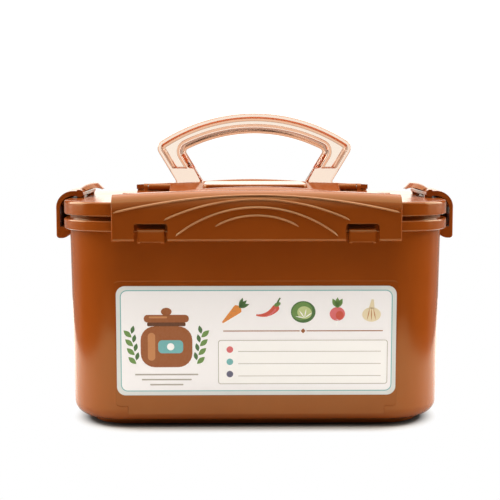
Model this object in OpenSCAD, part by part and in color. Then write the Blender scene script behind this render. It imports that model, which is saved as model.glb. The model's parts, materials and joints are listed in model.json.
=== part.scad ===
// Fermentation container: a tub, a clip-on outer lid with four latches and a folding carry handle,
// and an inner lid that is pressed down on the food.
// Millimetres. X is the width, the front is -Y, Z is up, and z = 0 is the surface it stands on.

/* [Tub] */
// Width over the tub wall at the underside of the rim band
tub_w = 231; // [224:1:240]
// Depth over the tub wall at the underside of the rim band
tub_d = 159; // [154:1:168]
// Plan radius of the tub wall's corners
tub_corner = 36.5; // [33:0.5:40]
// Height of the rim band's underside
rim_under_z = 119.5; // [115.5:1:125.5]
// Wall thickness at the rim
tub_wall = 3; // [2.6:0.1:3.4]
// Thickness of the tub's floor
floor_t = 2.6; // [2:0.1:3.2]
// Lean of the outer wall in degrees
tub_draft = 0.9; // [0.7:0.1:1]
// Lean of the inner wall in degrees
bore_draft = 0.3; // [0.2:0.1:0.4]
// Radius between the floor and the outer wall
base_round = 8; // [6:0.5:10]
// Radius between the floor and the inner wall
bore_round = 6; // [4:0.5:8]
// Height of the foot that the tub stands on
base_foot_h = 3.5; // [2.5:0.1:4]
// Distance of the foot from the tub's outline
base_foot_in = 14; // [12:0.5:18]
// Wall thickness of the foot
base_foot_t = 3; // [2.4:0.1:3.6]

/* [Rim] */
// How far the rim band stands out from the wall
rim_out = 3.5; // [3.2:0.1:4]
// Height of the rim band
rim_h = 6.4; // [5.6:0.1:7.2]
// Height of the upstand above the rim band
upstand_h = 6.6; // [6:0.1:7.4]
// Radius of the rim band's outer edges
rim_round = 0.9; // [0.6:0.1:1.2]

/* [Latch lugs on the tub] */
// Width of each lug
lug_w = 16; // [14:0.5:18]
// Distance of a lug from the middle
lug_x = 62; // [60:0.5:64]
// Height of a lug below the rim band's underside
lug_drop = 6.2; // [5.4:0.1:6.8]
// Height of a lug above the rim band's underside
lug_rise = 2.4; // [2:0.1:3]
// Radius of the lug's top front edge
lug_round = 2.5; // [1.5:0.1:3]
// Wall thickness of a lug
lug_wall = 2; // [1.6:0.1:2.4]
// Radius of the lug's other front edges
lug_edge = 1.2; // [0.8:0.1:1.4]
// Height of the two feet below a lug's front wall
lug_foot = 0.9; // [0.6:0.1:1.2]
// Set-back of a lug's face behind the latch's face
lug_back = 0.3; // [0.2:0.1:0.8]

/* [Label] */
// Width of the label
label_w = 168; // [150:1:168]
// Height of the label
label_h = 66.5; // [60:0.5:68]
// Corner radius of the label
label_corner = 5.3; // [4:0.1:7]
// Thickness of the label
label_t = 0.25; // [0.2:0.05:0.35]
// Distance of the label's top edge below the rim band's underside
label_drop = 32.7; // [32:0.1:36]
// Margin of the tub's shallow panel round the label
panel_margin = 3; // [2.5:0.1:4]
// Depth of the panel
panel_deep = 0.5; // [0.45:0.05:0.6]
// Corner radius of the panel
panel_corner = 6; // [5:0.5:8]
// Distance of the panel's lower corners above the tub's base round
panel_foot = 1.8; // [1.2:0.1:2.4]

/* [Outer lid] */
// Gap between the rim band and the lid's skirt
lid_gap = 2.6; // [2.2:0.1:3]
// Thickness of the lid's plate
lid_plate_t = 2.5; // [2.2:0.1:3]
// Thickness of the lid's skirt
lid_skirt_t = 2.2; // [1.8:0.1:2.5]
// Radius of the lid's top edge
lid_edge_round = 1.5; // [1:0.1:2]
// Radius of the skirt's lower edge
skirt_round = 0.8; // [0.5:0.1:1]
// Thickness of the wall inside the tub's mouth
plug_t = 1.6; // [1.4:0.1:2]
// Clearance between that wall and the tub
plug_gap = 0.5; // [0.4:0.1:0.7]
// Depth of that wall
plug_h = 7; // [6:0.5:8]
// Thickness of the gasket
gasket_t = 2; // [1.8:0.1:2.4]
// Clearance at each side of the gasket
gasket_gap = 0.1; // [0.05:0.05:0.2]

/* [Handle seat] */
// Height of the raised seat above the lid
seat_h = 8.8; // [8.4:0.1:9.4]
// Front edge of the seat
seat_front = 36; // [32:1:40]
// Rear edge of the seat
seat_rear = 27; // [24:0.5:28]
// Corner radius of the seat
seat_corner = 6; // [4:0.5:8]
// Radius of the seat's top edge
seat_round = 1.2; // [0.8:0.1:1.6]
// Wall thickness of the seat
seat_wall = 2.2; // [1.8:0.1:2.6]
// Thickness of the outer cheeks and stop walls
cheek_t = 2.6; // [2.2:0.1:3]
// Length of the ramp before each stop wall
ramp_len = 24; // [16:1:26]
// Height of the ramp's front edge
ramp_toe = 0.8; // [0.6:0.1:1.2]
// Rear reach of the outer cheeks from the pivot
cheek_rear = 3.4; // [2.8:0.1:3.5]
// Clearance beside each handle foot
foot_gap = 0.4; // [0.3:0.05:0.5]
// Clearance between a foot and its stop wall
stop_gap = 0.3; // [0.2:0.05:0.4]
// Radius of the handle's pivot pins
handle_pin_r = 2; // [1.6:0.1:2.2]

/* [Carry handle] */
// Depth of the handle, front to back
handle_t = 11; // [10:0.5:11]
// Radius of the handle's outer arc
grip_outer_r = 113.5; // [110:0.5:118]
// Height of the grip from its outer arc to its inner arc
grip_h = 13.4; // [12:0.2:15]
// Height of the handle's top above the pivot
handle_rise = 48.5; // [46:0.5:50]
// Distance of a foot's inner face from the middle
foot_in = 33.8; // [32:0.2:36]
// Width of a foot
foot_w = 18.2; // [16:0.2:19]
// Height above the pivot at which a leg starts to lean
lean_start = 4; // [3.8:0.1:4.5]
// Lean of the legs in degrees
leg_lean = 31; // [28:0.5:32]
// Radius of the handle's shoulders
shoulder_r = 6; // [4:0.5:8]
// Width of the rail outside the channel
outer_rail = 3; // [2.5:0.1:3.5]
// Width of the rail inside the channel
inner_rail = 4.8; // [4.2:0.1:5]
// Depth of the channel in each face
channel_deep = 3.2; // [2:0.1:3.6]
// Height above the pivot at which the channel starts
channel_start = 12.5; // [11:0.5:15]
// Clearance under the folded handle
fold_gap = 0.5; // [0.4:0.1:0.8]

/* [Latches] */
// How far the latch face stands out from the lid's edge
latch_out = 7.6; // [7.4:0.1:8.2]
// Thickness of the latch plate
latch_t = 2.4; // [2:0.1:2.6]
// Thickness of the latch arm
arm_t = 3.2; // [2.8:0.1:3.4]
// Clearance between the arm and the lid
arm_gap = 1.3; // [1.1:0.1:1.6]
// Radius of the plate's outer edges
plate_round = 1.1; // [0.8:0.1:1.2]
// Radius of the bend between the arm and the plate of a long latch
bend_r = 9.5; // [8.5:0.1:10]
// Distance of the hinge axis from the lid's edge
hinge_in = 7.5; // [7:0.1:8]
// Radius of the hinge barrel
barrel_r = 2.4; // [2.3:0.05:2.5]
// Radius of the hinge pins
hinge_pin_r = 1.2; // [1.05:0.05:1.3]
// Running clearance of the pins
pin_gap = 0.05; // [0.03:0.01:0.08]
// Thickness of a hinge post
post_t = 3; // [2.5:0.1:3.2]
// Wall over the end of a pin
pin_cover = 0.8; // [0.6:0.1:1]
// Clearance at each side of a hinge post
post_gap = 0.4; // [0.3:0.05:0.5]
// Distance of the barrel's end from the end of the latch
barrel_inset = 9; // [8:0.5:10]
// Reach of the hook under the rim band
hook_reach = 2.2; // [1.8:0.1:2.4]
// Clearance between the hook and the rim band
hook_gap = 0.8; // [0.8:0.05:1]
// Radius of the hook's upper tip
hook_round = 0.8; // [0.6:0.1:1]
// Distance of the tongue's crest from the lid's edge
crest_in = 13; // [13:0.1:14]
// Height of the tongue's crest above the hinge axis
crest_rise = 5.9; // [5.6:0.1:6.2]
// Radius of the tongue's curve
tongue_r = 12; // [11.5:0.1:12.5]
// Thickness of the tongue
tongue_t = 2.1; // [1.8:0.1:2.2]
// Distance of the tongue's tip from the lid's edge
tip_in = 19; // [19:0.2:20.2]
// Distance of the tongue's ends from the lid's edge
tongue_end_in = 9; // [8.5:0.1:10]
// Slope of the tongue's edge in degrees
edge_slope = 45; // [25:1:45]

/* [Long latches, front and rear] */
// Length of a long latch
long_len = 170; // [160:1:174]
// Depth of its plate below the rim band's underside
long_drop = 5; // [4.4:0.1:5.4]
// Radius of its lower edge
long_heel = 1.8; // [1:0.1:2.2]
// Height of its arch
long_arch = 2.6; // [2:0.1:3]
// Half length of its tongue
long_tongue = 56; // [50:1:60]
// Height of its tongue's arch
long_tongue_arch = 4; // [3:0.1:4.2]
// Half length of its hook
long_hook = 46; // [40:1:48]
// Width of the notches for the tub's lugs
notch_w = 19.5; // [19:0.1:21]
// Radius of the notches' upper corners
notch_round = 1.5; // [1:0.1:2]
// Height of the notches above the rim band's underside
notch_rise = 5.3; // [4.6:0.1:6]
// Height of the raised lines on the face
line_h = 0.3; // [0.2:0.05:0.5]
// Width of the raised lines
line_w = 0.6; // [0.5:0.1:1.2]

/* [Short latches, left and right] */
// Length of a short latch
short_len = 62; // [56:1:66]
// Depth of its plate below the rim band's underside
short_drop = 8; // [7:0.1:9]
// Radius of its lower edge
short_heel = 2.4; // [1.6:0.1:2.8]
// Radius of its bend
short_bend = 11; // [9.5:0.1:11.5]
// Thickness of the rib across its hollow
short_rib = 3; // [2:0.5:4]
// Clearance between the rib and the lid
rib_gap = 0.7; // [0.5:0.1:1]
// Height of its arch
short_arch = 0.8; // [0.4:0.1:1]
// Half length of its tongue
short_tongue = 20; // [18:0.5:21]
// Height of its tongue's arch
short_tongue_arch = 2; // [1:0.1:2.4]

/* [Inner lid] */
// Depth of the inner lid's underside below the rim band's underside
inner_drop = 30; // [28:1:33]
// Travel of the inner lid
inner_travel = 42; // [36:1:44]
// Thickness of the inner lid's plate
inner_plate_t = 2.2; // [2:0.1:2.6]
// Thickness of its upright wall
inner_wall_t = 2.2; // [1.8:0.1:2.6]
// Height of the upright wall above the plate
inner_wall_h = 10; // [9:0.5:12]
// Thickness of the flange over the seal
inner_flange_t = 2; // [1.6:0.1:2.4]
// Height of the seal
seal_h = 5.2; // [4.6:0.1:6]
// Depth of the seal's groove
seal_deep = 4; // [3.4:0.1:4.4]
// Reach of the seal's lip
seal_lip = 1.6; // [1.2:0.1:2]
// Clearance of the lip at the lowest position
seal_gap = 0.1; // [0.08:0.01:0.2]
// Set-back of the flanges behind the lip
flange_back = 0.8; // [0.5:0.1:1]

/* [Inner lid pull] */
// Outer width of the pull
pull_w = 72; // [64:1:78]
// Reach of the pull from its pivot
pull_reach = 32; // [28:1:33]
// Thickness of the pull
pull_t = 6; // [5:0.1:6.4]
// Width of the pull's bars
pull_bar = 6.5; // [5.5:0.1:7.5]
// Height of the pull's pivot above the plate
pull_pivot = 5; // [4.6:0.1:5.6]
// Distance of the pivot behind the middle
pull_back = 14; // [12:1:16]
// Radius of the pull's stub pins
stub_r = 1.8; // [1.5:0.1:2]
// Width of each pivot lug
pull_lug_w = 4; // [3:0.1:5]
// Clearance beside the pull
pull_gap = 0.4; // [0.3:0.05:0.5]

/* [Vent plug] */
// Distance of the vent behind the middle
vent_back = 42; // [38:1:46]
// Radius of the plug's stem
stem_r = 5; // [4.5:0.1:5.5]
// Clearance round the stem
stem_gap = 0.05; // [0.03:0.01:0.08]
// Wall thickness of the vent's collar
collar_t = 3; // [2.4:0.1:3.4]
// Height of the collar above the plate
collar_h = 3; // [2.5:0.1:3.5]
// Thickness of the plug's head
head_t = 2.6; // [2:0.1:3]
// Overhang of the head over the stem
head_over = 2.4; // [1.8:0.1:2.6]
// Height of the plug's grip
knob_h = 5; // [4:0.1:6]
// Radius of the plug's grip
knob_r = 3.2; // [2.8:0.1:3.6]

/* [Hidden] */
$fn = 64;

// Overshoot of cutting shapes
cut = 1;
// Slight angle at which a rounded clip meets the faces beside it
clip_angle = 8;

// Heights
rim_top_z = rim_under_z + rim_h;
upstand_z = rim_top_z + upstand_h;
lid_under_z = upstand_z + gasket_t;
lid_top_z = lid_under_z + lid_plate_t;
skirt_z = rim_top_z + lid_gap;
seat_top_z = lid_top_z + seat_h;
pivot_z = lid_top_z + fold_gap + handle_t / 2;
arm_under_z = lid_top_z + arm_gap;
arm_top_z = arm_under_z + arm_t;
hinge_z = arm_under_z + arm_t / 2;
floor_z = base_foot_h + floor_t;
inner_z = rim_under_z - inner_drop;
plate_z = inner_z + inner_plate_t;

// Lid outline
lid_w = tub_w + 2 * rim_out;
lid_d = tub_d + 2 * rim_out;
lid_corner = tub_corner + rim_out;
plug_out = rim_out + tub_wall + plug_gap;

// Outline offsets of the tub's walls and of the seal's lip
outer_base_u = -(rim_under_z - base_foot_h) * tan(tub_draft);
bore_base_u = -tub_wall - (rim_under_z - floor_z) * tan(bore_draft);
seal_u = -tub_wall - (inner_drop - inner_plate_t + inner_travel) * tan(bore_draft) - seal_gap;

// Handle
foot_out = foot_in + foot_w;
arc_z = pivot_z + handle_rise - grip_outer_r;
grip_inner_r = grip_outer_r - grip_h;
cheek_in = foot_out + foot_gap;
handle_pin_end = cheek_in + cheek_t - pin_cover;
seat_half = foot_in - foot_gap;

// Edges of the lid: turn about Z and distance from the middle
REAR = [0, lid_d / 2];
LEFT = [90, lid_w / 2];
FRONT = [180, lid_d / 2];
RIGHT = [270, lid_w / 2];

// Radius of an arch from its half length and its rise
function arch_radius(half, rise) = (half * half + rise * rise) / (2 * rise);

// Colours
brown = [0.56, 0.27, 0.12];
clear = [0.93, 0.72, 0.62];
silicone = [0.86, 0.84, 0.8];
steel = [0.7, 0.7, 0.7];
paper = [0.95, 0.95, 0.92];

// Side view of a band whose outer corners are rounded
module band_profile(u0, u1, z0, z1, r) {
    translate([u0, z0]) square([u1 - r - u0, z1 - z0]);
    translate([u0, z0 + r]) square([u1 - u0, z1 - z0 - 2 * r]);
    for (z = [z0 + r, z1 - r]) translate([u1 - r, z]) circle(r);
}

// Clip that cuts along y = 0, stays open beyond x = w, and rounds the corner between them
module rounded_clip(w, h, r) {
    inset = r * cos(clip_angle);
    intersection() {
        union() {
            square([w - inset, h]);
            translate([0, inset]) square([w + cut, h - inset]);
            translate([w - inset, inset]) circle(r);
        }
        square([w + cut, h]);
    }
}

// Plan of a block that is clipped at both ends, with its outer corners rounded
module rounded_ends(length, back_v, front_v, r) {
    for (sx = [0, 1]) mirror([sx, 0]) translate([length / 2, back_v]) rotate(90)
        rounded_clip(front_v - back_v, length / 2, r);
}

module quarter_disc(r) {
    intersection() {
        circle(r);
        square(r);
    }
}

module rounded_rect(w, h, r) {
    square([w - 2 * r, h], center = true);
    square([w, h - 2 * r], center = true);
    for (sx = [-1, 1], sy = [-1, 1])
        translate([sx * (w / 2 - r), sy * (h / 2 - r)]) circle(r);
}

// A profile carried round a rounded rectangle: x = 0 is the outline, inside is negative
module ring_sweep(w, d, r) {
    half_w = w / 2 - r;
    half_d = d / 2 - r;
    corners = [[half_w, half_d, 0], [-half_w, half_d, 90], [-half_w, -half_d, 180], [half_w, -half_d, 270]];
    for (c = corners)
        translate([c[0], c[1], 0]) rotate([0, 0, c[2]])
            rotate_extrude(angle = 90) translate([r, 0]) children();
    for (turn = [0, 180]) rotate([0, 0, turn]) {
        translate([half_w, half_d, 0]) rotate([90, 0, 0])
            linear_extrude(2 * half_d) translate([r, 0]) children();
        translate([-half_w, half_d, 0]) rotate([90, 0, 90])
            linear_extrude(2 * half_w) translate([r, 0]) children();
    }
}

// The middle of a swept block, between the corner axes
module middle_block(w, d, r, z0, z1) {
    translate([r - w / 2, r - d / 2, z0]) cube([w - 2 * r, d - 2 * r, z1 - z0]);
}

// Half section of a leaning wall with a rounded foot
module leaning_profile(base_u, lean, z0, z1, r) {
    centre_u = base_u + r * tan(lean) - r / cos(lean);
    polygon([[-tub_corner, z0], [centre_u, z0],
        [centre_u + r * cos(lean), z0 + r - r * sin(lean)],
        [base_u + (z1 - z0) * tan(lean), z1], [-tub_corner, z1]]);
    translate([centre_u, z0 + r]) circle(r);
}

module tub_sweep() {
    ring_sweep(tub_w, tub_d, tub_corner) children();
}

module tub_outside() {
    tub_sweep() {
        leaning_profile(outer_base_u, tub_draft, base_foot_h, rim_under_z, base_round);
        translate([-tub_corner, rim_under_z]) square([tub_corner, upstand_z - rim_under_z]);
        band_profile(-tub_corner, rim_out, rim_under_z, rim_top_z, rim_round);
    }
    middle_block(tub_w, tub_d, tub_corner, base_foot_h, upstand_z);
    linear_extrude(floor_z - floor_t / 2) foot_plan(base_foot_in);
}

module tub_inside() {
    tub_sweep() leaning_profile(bore_base_u, bore_draft, floor_z, upstand_z + cut, bore_round);
    middle_block(tub_w, tub_d, tub_corner, floor_z, upstand_z + cut);
    translate([0, 0, floor_t]) linear_extrude(base_foot_h + cut) foot_plan(base_foot_in + base_foot_t);
}

// Plan of the foot, at a distance from the tub's outline
module foot_plan(set_in) {
    rounded_rect(tub_w - 2 * set_in, tub_d - 2 * set_in, tub_corner - set_in);
}

// Side view of a lug: v is measured outwards from the rim band's face
lug_front_v = latch_out - lug_back;
lug_back_v = -rim_out - tub_wall / 2;
lug_low_z = rim_under_z - lug_drop;
lug_high_z = rim_under_z + lug_rise;

module lug_profile() {
    inner_v = lug_front_v - lug_round;
    translate([lug_back_v, lug_low_z]) square([inner_v - lug_back_v, lug_high_z - lug_low_z]);
    translate([inner_v, lug_low_z]) square([lug_round - lug_edge, lug_high_z - lug_round - lug_low_z]);
    translate([inner_v, lug_low_z + lug_edge])
        square([lug_round, lug_high_z - lug_round - lug_low_z - lug_edge]);
    translate([inner_v, lug_high_z - lug_round]) circle(lug_round);
    translate([lug_front_v - lug_edge, lug_low_z + lug_edge]) circle(lug_edge);
}

module lug_hollow() {
    translate([0, lug_low_z - cut])
        square([lug_front_v - lug_wall, lug_high_z - lug_low_z - lug_wall + cut]);
    translate([0, lug_low_z - cut]) square([lug_front_v + cut, lug_foot + cut]);
}

module along_x(length) {
    translate([-length / 2, 0, 0]) rotate([90, 0, 90]) linear_extrude(length) children();
}

module at_edge(edge) {
    rotate([0, 0, edge[0]]) translate([0, edge[1], 0]) children();
}

module lugs() {
    for (edge = [FRONT, REAR], sx = [-1, 1])
        at_edge(edge) translate([sx * lug_x, 0, 0]) difference() {
            intersection() {
                along_x(lug_w + cut) lug_profile();
                translate([0, 0, lug_low_z - cut]) linear_extrude(lug_high_z - lug_low_z + 2 * cut)
                    rounded_ends(lug_w, lug_back_v, lug_front_v, lug_edge);
            }
            along_x(lug_w - 2 * lug_wall) lug_hollow();
        }
}

// Frame of the leaning front wall: x across, y up from the rim band's underside, z outwards
module on_front_wall() {
    translate([0, -tub_d / 2, rim_under_z]) rotate([90 + tub_draft, 0, 0]) children();
}

// The panel has a narrower tail that is flat down to the base, where it runs out
module label_panel() {
    wall_h = rim_under_z - base_foot_h;
    panel_h = wall_h - label_drop + panel_margin - base_round - panel_foot;
    tail_w = tub_w - 2 * tub_corner - panel_margin;
    tail_h = base_round + panel_foot + panel_corner + cut;
    on_front_wall() translate([0, 0, -panel_deep]) linear_extrude(panel_deep + cut) {
        translate([0, panel_margin - label_drop - panel_h / 2])
            rounded_rect(label_w + 2 * panel_margin, panel_h, panel_corner);
        translate([-tail_w / 2, -wall_h - cut]) square([tail_w, tail_h]);
    }
}

module tub() {
    color(brown) {
        difference() {
            tub_outside();
            tub_inside();
            label_panel();
        }
        lugs();
    }
}

module label() {
    color(paper) on_front_wall() translate([0, -label_drop - label_h / 2, -panel_deep])
        linear_extrude(label_t) rounded_rect(label_w, label_h, label_corner);
}

module lid_sweep() {
    ring_sweep(lid_w, lid_d, lid_corner) children();
}

module lid_shell() {
    lid_sweep() {
        translate([-lid_corner, lid_under_z]) square([lid_corner - lid_edge_round, lid_plate_t]);
        translate([-lid_skirt_t, skirt_z + skirt_round])
            square([lid_skirt_t, lid_top_z - lid_edge_round - skirt_z - skirt_round]);
        translate([-lid_skirt_t, skirt_z]) square([lid_skirt_t - skirt_round, skirt_round]);
        translate([-skirt_round, skirt_z + skirt_round]) circle(skirt_round);
        translate([-lid_edge_round, lid_top_z - lid_edge_round]) quarter_disc(lid_edge_round);
        translate([-plug_out - plug_t, lid_under_z - plug_h]) square([plug_t, plug_h]);
    }
    middle_block(lid_w, lid_d, lid_corner, lid_under_z, lid_top_z);
}

seat_depth = seat_front + seat_rear;
seat_middle = (seat_rear - seat_front) / 2;

module seat_block() {
    translate([0, seat_middle, 0]) {
        ring_sweep(2 * seat_half, seat_depth, seat_corner)
            band_profile(-seat_corner, 0, lid_under_z, seat_top_z, seat_round);
        middle_block(2 * seat_half, seat_depth, seat_corner, lid_under_z, seat_top_z);
    }
}

module seat_hollow() {
    translate([0, seat_middle, lid_under_z - cut]) linear_extrude(seat_top_z - seat_wall - lid_under_z + cut)
        rounded_rect(2 * (seat_half - seat_wall), seat_depth - 2 * seat_wall, seat_corner - seat_wall);
}

// Side view of a stop wall with its ramp: y = 0 is the wall's rear face
module ramp_profile() {
    polygon([[0, 0], [0, seat_h], [-cheek_t, seat_h], [-cheek_t - ramp_len, ramp_toe], [-cheek_t - ramp_len, 0]]);
}

// Outer cheek and stop wall of one handle foot, on the right
module foot_well() {
    stop_y = -handle_t / 2 - stop_gap;
    translate([seat_half - seat_wall, stop_y, lid_top_z]) rotate([90, 0, 90])
        linear_extrude(cheek_in + cheek_t - seat_half + seat_wall) ramp_profile();
    translate([cheek_in, stop_y - cheek_t, lid_top_z])
        cube([cheek_t, cheek_rear + cheek_t - stop_y, seat_h]);
}

module handle_axis(r, x0, x1) {
    translate([x0, 0, pivot_z]) rotate([0, 90, 0]) cylinder(r = r, h = x1 - x0);
}

module both_sides() {
    children();
    mirror([1, 0, 0]) children();
}

// Side view of a hinge post
module post_profile() {
    translate([-hinge_in - barrel_r, lid_under_z])
        square([2 * barrel_r, hinge_z - lid_under_z]);
    translate([-hinge_in, hinge_z]) circle(barrel_r);
}

// Length of a latch's pin, whose ends are covered by the posts
function pin_length(length) = length - 2 * (barrel_inset - post_gap - post_t + pin_cover);

module hinge_posts(length) {
    post_x = length / 2 - barrel_inset + post_gap + post_t / 2;
    difference() {
        for (sx = [-1, 1]) translate([sx * post_x, 0, 0]) along_x(post_t) post_profile();
        hinge_rod(hinge_pin_r, pin_length(length));
    }
}

module outer_lid() {
    color(brown) {
        difference() {
            union() {
                lid_shell();
                seat_block();
                both_sides() foot_well();
            }
            seat_hollow();
            both_sides() handle_axis(handle_pin_r, seat_half - seat_wall - cut, handle_pin_end);
        }
        for (edge = [FRONT, REAR]) at_edge(edge) hinge_posts(long_len);
        for (edge = [LEFT, RIGHT]) at_edge(edge) hinge_posts(short_len);
    }
}

module lid_gasket() {
    color(silicone) lid_sweep() translate([-plug_out + gasket_gap, upstand_z])
        square([plug_out - lid_skirt_t - 2 * gasket_gap, gasket_t]);
}

module handle_pins() {
    color(steel) both_sides() handle_axis(handle_pin_r, seat_half - seat_wall, handle_pin_end);
}

// Handle shape between leg lines and under an arc: x across, y up
module handle_region(half, radius, low) {
    high = handle_rise + cut;
    spread = tan(leg_lean) * (high - low);
    intersection() {
        translate([0, arc_z - pivot_z]) circle(radius, $fn = 180);
        polygon([[-half, low], [half, low], [half + spread, high], [-half - spread, high]]);
    }
}

// Half width of a leg line at a height above the pivot
function leg_x(base, height) = base + (height - lean_start) * tan(leg_lean);

module handle_band(outer_set, inner_set, low) {
    difference() {
        handle_region(leg_x(foot_out - outer_set / cos(leg_lean), low), grip_outer_r - outer_set, low);
        handle_region(leg_x(foot_in + inner_set / cos(leg_lean), low - cut), grip_inner_r + inner_set,
            low - cut);
    }
}

// Centre of the round between a leg line and the outer arc, above the pivot
shoulder_line = foot_out - lean_start * tan(leg_lean) - shoulder_r / cos(leg_lean);
shoulder_reach = grip_outer_r - shoulder_r;
arc_y = arc_z - pivot_z;
shoulder_a = 1 + tan(leg_lean) * tan(leg_lean);
shoulder_b = 2 * (shoulder_line * tan(leg_lean) - arc_y);
shoulder_c = shoulder_line * shoulder_line + arc_y * arc_y - shoulder_reach * shoulder_reach;
shoulder_y = (-shoulder_b + sqrt(shoulder_b * shoulder_b - 4 * shoulder_a * shoulder_c)) / (2 * shoulder_a);
shoulder_x = shoulder_line + shoulder_y * tan(leg_lean);
shoulder_angle = atan2(shoulder_y - arc_y, shoulder_x);

// A point of the shoulder's corner, at a distance from the round's centre
function shoulder_point(reach, angle) = [reach * cos(angle), reach * sin(angle)];

// Corner that the shoulder's round takes off
module shoulder_corner() {
    half_turn = (shoulder_angle + leg_lean) / 2;
    corner_r = shoulder_r / cos(half_turn);
    translate([shoulder_x, shoulder_y]) difference() {
        polygon([[0, 0],
            shoulder_point(shoulder_r + cut, shoulder_angle),
            shoulder_point(corner_r + 2 * cut, shoulder_angle - half_turn),
            shoulder_point(shoulder_r + cut, -leg_lean)]);
        circle(shoulder_r);
    }
}

module handle_foot() {
    translate([-handle_t / 2, 0]) square([handle_t, lean_start]);
    circle(handle_t / 2);
}

module upright_slab(y0, y1) {
    translate([0, y1, pivot_z]) rotate([90, 0, 0]) linear_extrude(y1 - y0) children();
}

module carry_handle() {
    half_t = handle_t / 2;
    color(clear) difference() {
        union() {
            upright_slab(-half_t, half_t) difference() {
                handle_band(0, 0, lean_start);
                shoulder_corner();
                mirror([1, 0]) shoulder_corner();
            }
            both_sides() translate([foot_in, 0, pivot_z]) rotate([90, 0, 90])
                linear_extrude(foot_w) handle_foot();
        }
        upright_slab(-half_t - cut, channel_deep - half_t) handle_band(outer_rail, inner_rail, channel_start);
        upright_slab(half_t - channel_deep, half_t + cut) handle_band(outer_rail, inner_rail, channel_start);
        both_sides() handle_axis(handle_pin_r + pin_gap, foot_in - cut, foot_out + cut);
    }
}

// Side view of a bent plate: v outwards from the lid's edge, z up, rounded at the outer top corner
module bent_profile(face_v, top, r, low, back_v) {
    translate([back_v, low]) square([face_v - r - back_v, top - low]);
    translate([face_v - r, low]) square([r, top - r - low]);
    translate([face_v - r, top - r]) quarter_disc(r);
}

module latch_skin_profile(bend, low, rise, grow) {
    difference() {
        bent_profile(latch_out + grow, arm_top_z + rise + grow, bend + grow, low, -hinge_in);
        bent_profile(latch_out - latch_t, arm_under_z + rise, bend - latch_t, low - cut, -hinge_in - cut);
    }
}

// A side view carried along an arch whose middle is at the profile's own height
module arched(radius, half, crown_z) {
    turn = asin(half / radius) + cut;
    translate([0, 0, crown_z - radius]) rotate([90, 0, 90]) rotate([90, 0, 90]) rotate([0, 0, -turn])
        rotate_extrude(angle = 2 * turn, $fn = 360) translate([radius - crown_z, 0]) mirror([1, -1])
            children();
}

module arched_skin(length, bend, low, rise, grow) {
    arched(arch_radius(length / 2, rise), length / 2, arm_top_z + rise)
        latch_skin_profile(bend, low - rise - cut, rise, grow);
}

// Straight ends and a straight lower edge of a latch, rounded where they meet the face
module latch_clip(length, low, heel) {
    intersection() {
        children();
        along_x(length + cut) translate([-hinge_in, low])
            rounded_clip(hinge_in + latch_out, arm_top_z, heel);
        translate([0, 0, low - cut]) linear_extrude(arm_top_z)
            rounded_ends(length, -hinge_in, latch_out, plate_round);
    }
}

module hook_profile(low) {
    face_v = latch_out - latch_t / 2;
    top = rim_under_z - hook_gap;
    heel = top - low - hook_round;
    translate([hook_round - hook_reach, low + heel]) square([face_v + hook_reach - hook_round, hook_round]);
    translate([hook_round - hook_reach, low + heel]) circle(hook_round);
    translate([heel - hook_reach, low]) square([face_v + hook_reach - heel, heel]);
    translate([heel - hook_reach, low + heel]) mirror([1, 0]) mirror([0, 1]) quarter_disc(heel);
}

module tongue_profile() {
    centre_z = hinge_z + crest_rise - tongue_r;
    intersection() {
        translate([-crest_in, centre_z]) difference() {
            circle(tongue_r);
            circle(tongue_r - tongue_t);
        }
        translate([-tip_in, hinge_z]) square([tip_in - hinge_in + barrel_r, crest_rise + cut]);
    }
}

// The tongue is arched along the latch and rounded in plan, and its edge slopes
module tongue(half, rise) {
    plan_rise = tip_in - tongue_end_in;
    plan_r = arch_radius(half, plan_rise);
    height = 4 * barrel_r;
    spread = height / 2 * tan(edge_slope);
    intersection() {
        arched(arch_radius(half, rise), half, hinge_z + crest_rise) tongue_profile();
        translate([0, plan_r - tip_in, hinge_z - barrel_r])
            cylinder(r1 = plan_r + spread, r2 = plan_r - spread, h = height, $fn = 180);
        translate([-half, -tip_in, hinge_z - barrel_r]) cube([2 * half, tip_in, height]);
    }
}

module hinge_rod(r, length) {
    translate([-length / 2, -hinge_in, hinge_z]) rotate([0, 90, 0]) cylinder(r = r, h = length);
}

// Room for the hinge posts, from the barrel's ends outwards
module post_pockets(length, pocket_w) {
    depth = barrel_r + post_gap;
    for (sx = [0, 1]) mirror([sx, 0, 0])
        translate([length / 2 - barrel_inset, -hinge_in - depth, lid_top_z - cut])
            cube([pocket_w, 2 * depth, seat_h + 2 * cut]);
}

module latch(length, bend, drop, heel, rise, hook_half, tongue_half, tongue_rise) {
    low = rim_under_z - drop;
    latch_clip(length, low, heel) arched_skin(length, bend, low, rise, 0);
    latch_clip(length, low, heel) along_x(2 * hook_half) hook_profile(low);
    hinge_rod(barrel_r, length - 2 * barrel_inset);
    tongue(tongue_half, tongue_rise);
}

module hinge_bore(length) {
    hinge_rod(hinge_pin_r + pin_gap, length - 2 * (barrel_inset - post_gap));
}

// Raised arc lines of a long latch: height of the top and of the ends, and half width
LINES = [[21.6, 11.9, 83], [19.4, 7.8, 53.4], [14.8, -1.2, 46.5], [10.1, 4.3, 23.3]];

module line_band(line) {
    rise = line[0] - line[1];
    radius = arch_radius(line[2], rise);
    turn = asin(line[2] / radius);
    translate([0, latch_out, rim_under_z + line[0] - radius]) rotate([90, 0, 90]) rotate([90, 0, 90])
        rotate([0, 0, -turn]) rotate_extrude(angle = 2 * turn, $fn = 360)
            translate([radius - line_w / 2, -bend_r]) square([line_w, bend_r + 2 * line_h]);
}

module raised_lines() {
    low = rim_under_z - long_drop;
    intersection() {
        difference() {
            arched_skin(long_len, bend_r, low, long_arch, line_h);
            arched_skin(long_len, bend_r, low - cut, long_arch, -line_h / 4);
        }
        union() for (line = LINES) line_band(line);
    }
}

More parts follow.
